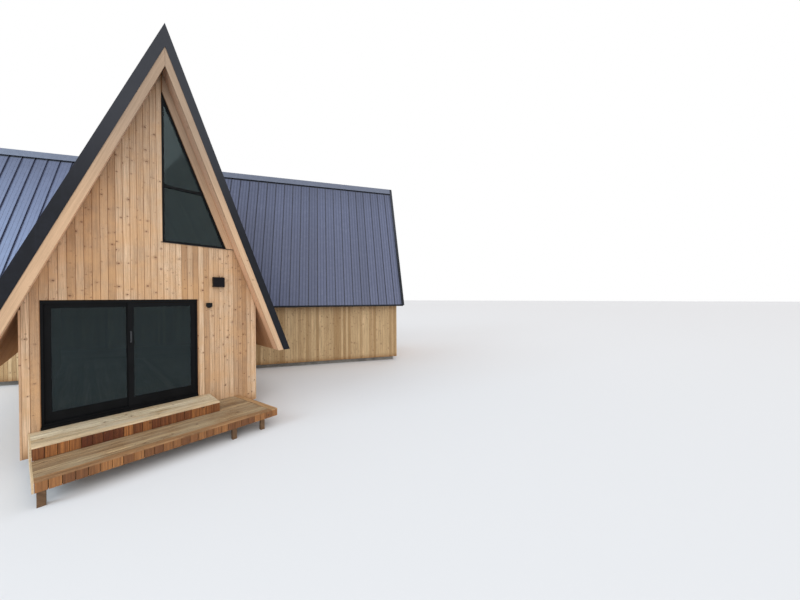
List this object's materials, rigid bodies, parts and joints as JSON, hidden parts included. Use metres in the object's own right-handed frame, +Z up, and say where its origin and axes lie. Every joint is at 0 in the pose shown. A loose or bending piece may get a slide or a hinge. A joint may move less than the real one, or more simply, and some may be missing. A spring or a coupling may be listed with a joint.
{
  "type": "a-frame cabin",
  "caption": "Steep A-frame cabin with a glazed front gable, sliding glass door, stepped timber deck and a skewed wing with a metal roof.",
  "frame": {"origin": "on the ground, under the middle of the foundation wall that carries the front gable", "axes": "+X along the front gable to the right, +Y into the building, +Z up"},
  "size_m": [19.5891, 17.0445, 9.4003],
  "materials": {
    "siding": "clear-finished knotty boards",
    "floor_boards": "plain boards",
    "roof_timber": "sawn timber",
    "soffit_boards": "clear-finished boards",
    "rake_wood": "clear-finished board",
    "end_boards": "fresh sawn board",
    "deck_boards": "weathered boards",
    "deck_timber": "sawn timber",
    "skirt_boards": "stained boards",
    "roof_metal": "satin coated sheet",
    "trim_metal": "satin coated sheet",
    "cap_metal": "satin coated sheet",
    "black_frame": "satin black",
    "black_fitting": "matte black",
    "pull_metal": "satin black",
    "dark_plastic": "matte",
    "glass": "clear",
    "concrete": "bare"
  },
  "bodies": {
    "cabin": {"front_wall_left": "siding", "front_wall_right": "siding", "front_wall_base": "siding", "front_wall_upper": "siding", "side_wall_left": "siding", "side_wall_right": "siding", "front_floor": "floor_boards", "loft_floor": "floor_boards", "front_roof_left": "roof_timber", "front_roof_right": "roof_timber", "front_soffit": "soffit_boards", "front_roofing": "roof_metal", "front_rake_board": "rake_wood", "front_rake_metal": "trim_metal", "window_frame": "black_frame", "window_glass": "glass", "window_trim": "rake_wood", "door_frame": "black_frame", "fixed_panel": "black_frame", "fixed_glass": "glass", "wall_light": "black_fitting", "entry_sensor": "dark_plastic", "corner_trims": "rake_wood", "front_foundation": "concrete", "upper_deck": "deck_boards", "lower_deck": "deck_boards", "deck_frame": "deck_timber", "deck_skirts": "skirt_boards", "deck_end_boards": "end_boards", "wing_roof_front_left": "roof_timber", "wing_roof_front_right": "roof_timber", "wing_roof_back": "roof_timber", "wing_roofing": "roof_metal", "wing_wall_front_left": "siding", "wing_wall_front_right": "siding", "wing_wall_back": "siding", "wing_gable_left": "siding", "wing_gable_right": "siding", "wing_floor": "floor_boards", "wing_foundation": "concrete", "wing_rake_boards": "rake_wood", "wing_rake_metal": "trim_metal", "eave_trims": "trim_metal", "ridge_caps": "cap_metal"},
    "sliding_door": {"sliding_panel": "black_frame", "sliding_glass": "glass", "door_pull": "pull_metal"}
  },
  "joints": [
    {"name": "door_slide", "type": "slide", "parent": "cabin", "child": "sliding_door", "axis": [-1, 0, 0], "range_m": [0, 1.14]}
  ]
}
